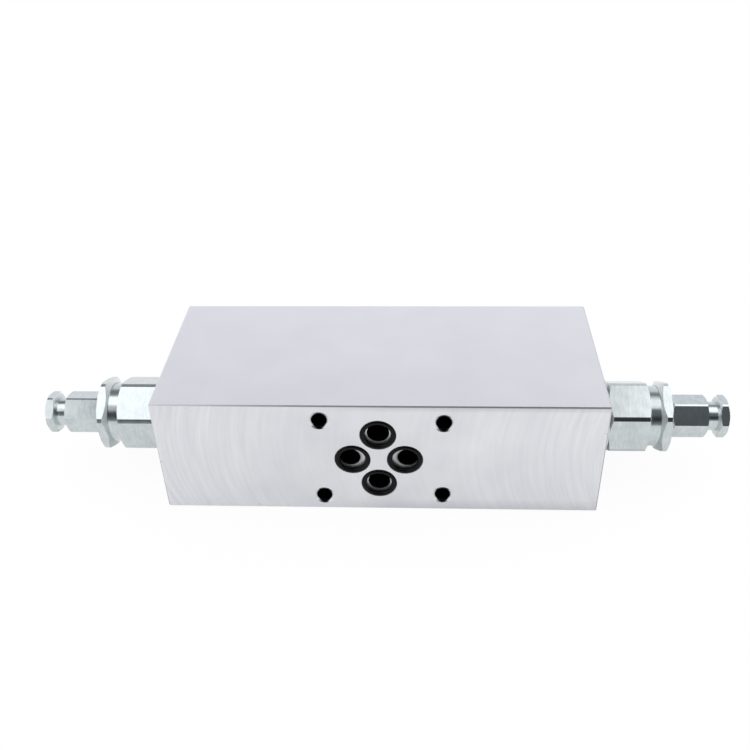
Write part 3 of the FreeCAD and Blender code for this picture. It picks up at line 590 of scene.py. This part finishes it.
def zinc_plated_steel():
    """Free-cutting steel bar, drawn and turned, with bright blue-passivated zinc plating: a cool,
    nearly mirror-like grey with faint clouds and streaks. The turned end faces and bevels are
    satin and paler."""
    cloud_size = 3.125 * MM
    # The streaks across the bar are drawn wider than the real ones, so that they show
    streak_width = 0.625 * MM
    streak_length = 3.5714 * MM
    mottle_spread = (0.36, 0.64)
    mottle_shades = ("bac2c5", "ced4d6")
    plated_roughness = (0.12, 0.22)
    turned_slope = (0.35, 0.6)
    turned_roughness = 0.4
    # The second turned colour is a painted shade for the undersides of the bevels that face the
    # plate
    plain_turned, shaded_turned = "e6ebeb", "bec4c4"
    underside = (0.1, -0.2)

    material, tree, shader = new_material("zinc_plated_steel", Metallic=1.0)
    coordinates = add_node(tree, "ShaderNodeTexCoord")
    place = coordinates.outputs["Object"]
    clouds = add_node(
        tree,
        "ShaderNodeTexNoise",
        inputs={"Vector": place, "Scale": 1 / cloud_size, "Detail": 4.0, "Roughness": 0.6},
    )
    across = add_node(
        tree,
        "ShaderNodeMapping",
        inputs={
            "Vector": place,
            "Scale": (1 / streak_width, 1 / streak_length, 1 / streak_length),
        },
    )
    streaks = add_node(
        tree,
        "ShaderNodeTexNoise",
        inputs={"Vector": across, "Scale": 1.0, "Detail": 3.0, "Roughness": 0.6},
    )
    mottle = add_node(
        tree,
        "ShaderNodeMix",
        {"data_type": "FLOAT"},
        {"Factor": 0.5, "A": clouds.outputs["Fac"], "B": streaks.outputs["Fac"]},
    )
    plated = add_node(tree, "ShaderNodeValToRGB", inputs={"Fac": mottle})
    set_stops(plated, [(stop, colour(code)) for stop, code in zip(mottle_spread, mottle_shades)])

    # A turned surface faces along the bar more than its drawn flats do
    facing = add_node(
        tree, "ShaderNodeSeparateXYZ", inputs={"Vector": coordinates.outputs["Normal"]}
    )
    endwise = add_node(
        tree, "ShaderNodeMath", {"operation": "ABSOLUTE"}, {0: facing.outputs["X"]}
    )
    turned = add_node(
        tree,
        "ShaderNodeMapRange",
        inputs={"Value": endwise, "From Min": turned_slope[0], "From Max": turned_slope[1]},
    )
    # The undersides of the bevels that face the plate are painted darker, as painted shade under
    # them beside the plate
    axes = add_node(tree, "ShaderNodeSeparateXYZ", inputs={"Vector": place})
    side = add_node(tree, "ShaderNodeMath", {"operation": "SIGN"}, {0: axes.outputs["X"]})
    outwards = add_node(
        tree, "ShaderNodeMath", {"operation": "MULTIPLY"}, {0: facing.outputs["X"], 1: side}
    )
    inward = add_node(tree, "ShaderNodeMath", {"operation": "LESS_THAN"}, {0: outwards, 1: 0.0})
    downward = add_node(
        tree,
        "ShaderNodeMapRange",
        inputs={
            "Value": facing.outputs["Z"],
            "From Min": underside[0],
            "From Max": underside[1],
        },
    )
    under_bevel_shade = add_node(tree, "ShaderNodeMath", {"operation": "MULTIPLY"}, {0: inward, 1: downward})
    turned_shade = add_node(
        tree,
        "ShaderNodeMix",
        {"data_type": "RGBA"},
        {"Factor": under_bevel_shade, "A": colour(plain_turned), "B": colour(shaded_turned)},
    )
    finish = add_node(
        tree,
        "ShaderNodeMix",
        {"data_type": "RGBA"},
        {
            "Factor": turned,
            "A": plated.outputs["Color"],
            "B": turned_shade.outputs["Result"],
        },
    )
    tree.links.new(finish.outputs["Result"], shader.inputs["Base Color"])
    plated_gloss = add_node(
        tree,
        "ShaderNodeMapRange",
        inputs={"Value": mottle, "To Min": plated_roughness[0], "To Max": plated_roughness[1]},
    )
    gloss = add_node(
        tree,
        "ShaderNodeMix",
        {"data_type": "FLOAT"},
        {"Factor": turned, "A": plated_gloss, "B": turned_roughness},
    )
    tree.links.new(gloss.outputs[0], shader.inputs["Roughness"])
    relief = add_node(
        tree,
        "ShaderNodeBump",
        inputs={"Height": streaks.outputs["Fac"], "Strength": 0.12, "Distance": 0.01 * MM},
    )
    tree.links.new(relief.outputs["Normal"], shader.inputs["Normal"])
    return material


def nitrile_rubber():
    """Black nitrile rubber seal ring, moulded smooth and wiped with oil, so it shines. The oil
    lies in spots."""
    spot_size = 1.111 * MM
    film_roughness = (0.16, 0.34)
    material, tree, shader = new_material(
        "nitrile_rubber", Base_Color=colour("030304"), IOR=1.5, Specular_IOR_Level=0.14
    )
    place = add_node(tree, "ShaderNodeTexCoord").outputs["Object"]
    film = add_node(
        tree,
        "ShaderNodeTexNoise",
        inputs={"Vector": place, "Scale": 1 / spot_size, "Detail": 2.0},
    )
    gloss = add_node(
        tree,
        "ShaderNodeMapRange",
        inputs={
            "Value": film.outputs["Fac"],
            "To Min": film_roughness[0],
            "To Max": film_roughness[1],
        },
    )
    tree.links.new(gloss.outputs[0], shader.inputs["Roughness"])
    return material


def plain_metal(name, dark, light, roughness):
    """Steel of an inner piece, turned or wound: even, with fine clouds."""
    cloud_size = 2.5 * MM
    material, tree, shader = new_material(name, Metallic=1.0, Roughness=roughness)
    place = add_node(tree, "ShaderNodeTexCoord").outputs["Object"]
    clouds = add_node(
        tree,
        "ShaderNodeTexNoise",
        inputs={"Vector": place, "Scale": 1 / cloud_size, "Detail": 3.0},
    )
    shades = add_node(tree, "ShaderNodeValToRGB", inputs={"Fac": clouds.outputs["Fac"]})
    set_stops(shades, [(0.3, colour(dark)), (0.7, colour(light))])
    tree.links.new(shades.outputs["Color"], shader.inputs["Base Color"])
    return material


def backup_plastic():
    """Off-white fluoropolymer of the flat backup rings, cut from tube: smooth and waxy, with
    faint clouds."""
    cloud_size = 2 * MM
    waxy_roughness = (0.32, 0.5)
    material, tree, shader = new_material(
        "backup_plastic", Base_Color=colour("dedbd0"), IOR=1.35
    )
    place = add_node(tree, "ShaderNodeTexCoord").outputs["Object"]
    clouds = add_node(
        tree,
        "ShaderNodeTexNoise",
        inputs={"Vector": place, "Scale": 1 / cloud_size, "Detail": 2.0},
    )
    gloss = add_node(
        tree,
        "ShaderNodeMapRange",
        inputs={
            "Value": clouds.outputs["Fac"],
            "To Min": waxy_roughness[0],
            "To Max": waxy_roughness[1],
        },
    )
    tree.links.new(gloss.outputs[0], shader.inputs["Roughness"])
    return material


def dress_nodes():
    """Give every CAD piece the finish of the real one."""
    aluminium = milled_aluminium()
    zinc = zinc_plated_steel()
    rubber = nitrile_rubber()
    ground = plain_metal("ground_steel", "b4b4b6", "c6c6c8", 0.22)
    spring = plain_metal("oiled_spring_steel", "6a6a6d", "7e7e82", 0.35)
    plug = plain_metal("plain_plug_steel", "98989b", "aaaaad", 0.3)
    backup = backup_plastic()
    # By the start of a piece's name. The sleeves, poppets and spring seats are ground steel.
    finishes = {
        "valve_plate": aluminium,
        "port_ring": rubber,
        "cartridge_housing": zinc,
        "adjuster": zinc,
        "main_spring": spring,
        "check_spring": spring,
        "retaining_clip": spring,
        "middle_backup": backup,
        "nose_backup": backup,
        "mouth_ring": rubber,
        "middle_ring": rubber,
        "nose_ring": rubber,
        "seat_ring": rubber,
        "pilot_line_plug": plug,
        "pilot_link_plug": plug,
    }
    for name, piece in nodes.items():
        matches = (finish for start, finish in finishes.items() if name.startswith(start))
        finish = next(matches, ground)
        for slot in piece.material_slots:
            slot.material = finish


def make_floor():
    """A pale table top just under the plate, which the camera and the metal see as white."""
    table = bmesh.new()
    bmesh.ops.create_grid(table, x_segments=1, y_segments=1, size=FLOOR_HALF_WIDTH)
    bmesh.ops.translate(table, verts=table.verts, vec=(0, 0, plate_low.z - FLOOR_GAP))
    mesh = bpy.data.meshes.new("floor")
    table.to_mesh(mesh)
    table.free()
    floor = bpy.data.objects.new("floor", mesh)
    bpy.context.collection.objects.link(floor)

    material = bpy.data.materials.new("white_paper")
    material.use_nodes = True
    tree = material.node_tree
    tree.nodes.clear()
    paper = add_node(tree, "ShaderNodeBsdfDiffuse", inputs={"Color": colour("f2f2f2")})
    white = add_node(tree, "ShaderNodeEmission", inputs={"Strength": 1.0})
    place = add_node(tree, "ShaderNodeTexCoord").outputs["Object"]
    axes = add_node(tree, "ShaderNodeSeparateXYZ", inputs={"Vector": place})
    reach = FLOOR_STOPS_REACH * MM
    position = add_node(
        tree,
        "ShaderNodeMapRange",
        inputs={"Value": axes.outputs["X"], "From Min": -reach, "From Max": reach},
    )
    for_metal = add_node(tree, "ShaderNodeValToRGB", inputs={"Fac": position})
    set_stops(
        for_metal,
        [
            (0.5 + stop / FLOOR_STOPS_REACH / 2, cool_grey(share, 0.0))
            for stop, share in FLOOR_WHITE_STOPS
        ],
    )
    path = add_node(tree, "ShaderNodeLightPath")
    for_camera = add_node(
        tree,
        "ShaderNodeMath",
        {"operation": "MULTIPLY"},
        {0: path.outputs["Is Camera Ray"], 1: FLOOR_WHITE_FOR_CAMERA},
    )
    share = add_node(
        tree,
        "ShaderNodeMath",
        {"operation": "MULTIPLY_ADD"},
        {0: path.outputs["Is Glossy Ray"], 1: for_metal, 2: for_camera},
    )
    blend = add_node(tree, "ShaderNodeMixShader", inputs={0: share, 1: paper, 2: white})
    add_node(tree, "ShaderNodeOutputMaterial", inputs={"Surface": blend})
    mesh.materials.append(material)


def card_share(tree, sideways, angle):
    """Where the black card stands: within its edges, and short of its left end."""
    upper_edge, lower_edge = [
        add_node(
            tree,
            "ShaderNodeMapRange",
            inputs={
                "Value": sideways,
                "From Min": CARD_PLACES[0],
                "From Max": CARD_PLACES[1],
                "To Min": ends[0],
                "To Max": ends[1],
            },
        )
        for ends in (CARD_UPPER_EDGE, CARD_LOWER_EDGE)
    ]
    above = add_node(
        tree, "ShaderNodeMath", {"operation": "SUBTRACT"}, {0: upper_edge, 1: angle}
    )
    under = add_node(
        tree, "ShaderNodeMath", {"operation": "SUBTRACT"}, {0: angle, 1: lower_edge}
    )
    beyond = add_node(tree, "ShaderNodeMath", {"operation": "MAXIMUM"}, {0: above, 1: under})
    within = add_node(
        tree,
        "ShaderNodeMapRange",
        inputs={"Value": beyond, "From Max": CARD_EDGE, "To Min": 1.0, "To Max": 0.0},
    )
    left_end = add_node(
        tree,
        "ShaderNodeMapRange",
        inputs={"Value": sideways, "From Min": CARD_FADE[0], "From Max": CARD_FADE[1]},
    )
    return add_node(
        tree, "ShaderNodeMath", {"operation": "MULTIPLY"}, {0: within, 1: left_end}
    )


def make_studio():
    """A white sweep behind, a dark room on the camera's side with its cards, and a soft even
    fill."""
    world = bpy.data.worlds.new("studio")
    bpy.context.scene.world = world
    world.use_nodes = True
    tree = world.node_tree
    tree.nodes.clear()
    way = add_node(tree, "ShaderNodeTexCoord").outputs["Generated"]
    parts = add_node(tree, "ShaderNodeSeparateXYZ", inputs={"Vector": way})
    sideways = parts.outputs["X"]
    radians = add_node(
        tree,
        "ShaderNodeMath",
        {"operation": "ARCTAN2"},
        {0: parts.outputs["Z"], 1: parts.outputs["Y"]},
    )
    angle = add_node(tree, "ShaderNodeMath", {"operation": "DEGREES"}, {0: radians})
    position = add_node(
        tree, "ShaderNodeMapRange", inputs={"Value": angle, "From Max": 180.0}
    )
    walls, card = [
        add_node(tree, "ShaderNodeValToRGB", inputs={"Fac": position}) for _ in range(2)
    ]
    for ramp, stops in ((walls, STUDIO_STOPS), (card, CARD_STOPS)):
        set_stops(ramp, [(stop / 180, cool_grey(*grey)) for stop, *grey in stops])
    studio = add_node(
        tree,
        "ShaderNodeMix",
        {"data_type": "RGBA"},
        {
            "Factor": card_share(tree, sideways, angle),
            "A": walls.outputs["Color"],
            "B": card.outputs["Color"],
        },
    )
    for level, (side_start, side_full), first_edge, last_edge in WHITE_CARDS:
        lit = add_node(
            tree,
            "ShaderNodeMapRange",
            inputs={"Value": sideways, "From Min": side_start, "From Max": side_full},
        )
        for start, full in (first_edge, reversed(last_edge)):
            raised = add_node(
                tree,
                "ShaderNodeMapRange",
                inputs={"Value": angle, "From Min": start, "From Max": full},
            )
            lit = add_node(tree, "ShaderNodeMath", {"operation": "MULTIPLY"}, {0: lit, 1: raised})
        studio = add_node(
            tree,
            "ShaderNodeMix",
            {"data_type": "RGBA", "blend_type": "LIGHTEN"},
            {"Factor": lit, "A": studio.outputs["Result"], "B": cool_grey(level, 0.0)},
        )

    # Metal sees the room, the camera sees white, and all else gets the even fill
    path = add_node(tree, "ShaderNodeLightPath")
    fill = add_node(
        tree,
        "ShaderNodeBackground",
        inputs={"Color": (1.0, 1.0, 1.0, 1.0), "Strength": AMBIENT},
    )
    room = add_node(tree, "ShaderNodeBackground", inputs={"Color": studio.outputs["Result"]})
    white = add_node(tree, "ShaderNodeBackground", inputs={"Color": (1.0, 1.0, 1.0, 1.0)})
    seen = add_node(
        tree,
        "ShaderNodeMixShader",
        inputs={0: path.outputs["Is Glossy Ray"], 1: fill, 2: room},
    )
    shown = add_node(
        tree,
        "ShaderNodeMixShader",
        inputs={0: path.outputs["Is Camera Ray"], 1: seen, 2: white},
    )
    add_node(tree, "ShaderNodeOutputWorld", inputs={"Surface": shown})


def make_softbox():
    """A wide lamp overhead, whose power is given as the level of its white panel."""
    lamp = bpy.data.lights.new("softbox", "AREA")
    lamp.shape = "RECTANGLE"
    lamp.size, lamp.size_y = SOFTBOX_SIZE
    lamp.energy = SOFTBOX_LEVEL * math.pi * SOFTBOX_SIZE[0] * SOFTBOX_SIZE[1]
    holder = bpy.data.objects.new("softbox", lamp)
    holder.location = (0, SOFTBOX_CENTRE_Y, SOFTBOX_HEIGHT)
    bpy.context.collection.objects.link(holder)


def make_camera():
    """The camera of the photograph, in front of and above the plate."""
    data = bpy.data.cameras.new("camera")
    data.sensor_width = SENSOR_WIDTH
    data.lens = LENS
    data.clip_start, data.clip_end = CAMERA_CLIP
    camera = bpy.data.objects.new("camera", data)
    camera.location = CAMERA_PLACE
    camera.rotation_euler = Euler([math.radians(turn) for turn in CAMERA_TURN])
    bpy.context.collection.objects.link(camera)
    bpy.context.scene.camera = camera


dress_nodes()
make_floor()
make_studio()
make_softbox()
make_camera()
bpy.context.scene.view_settings.view_transform = "Standard"
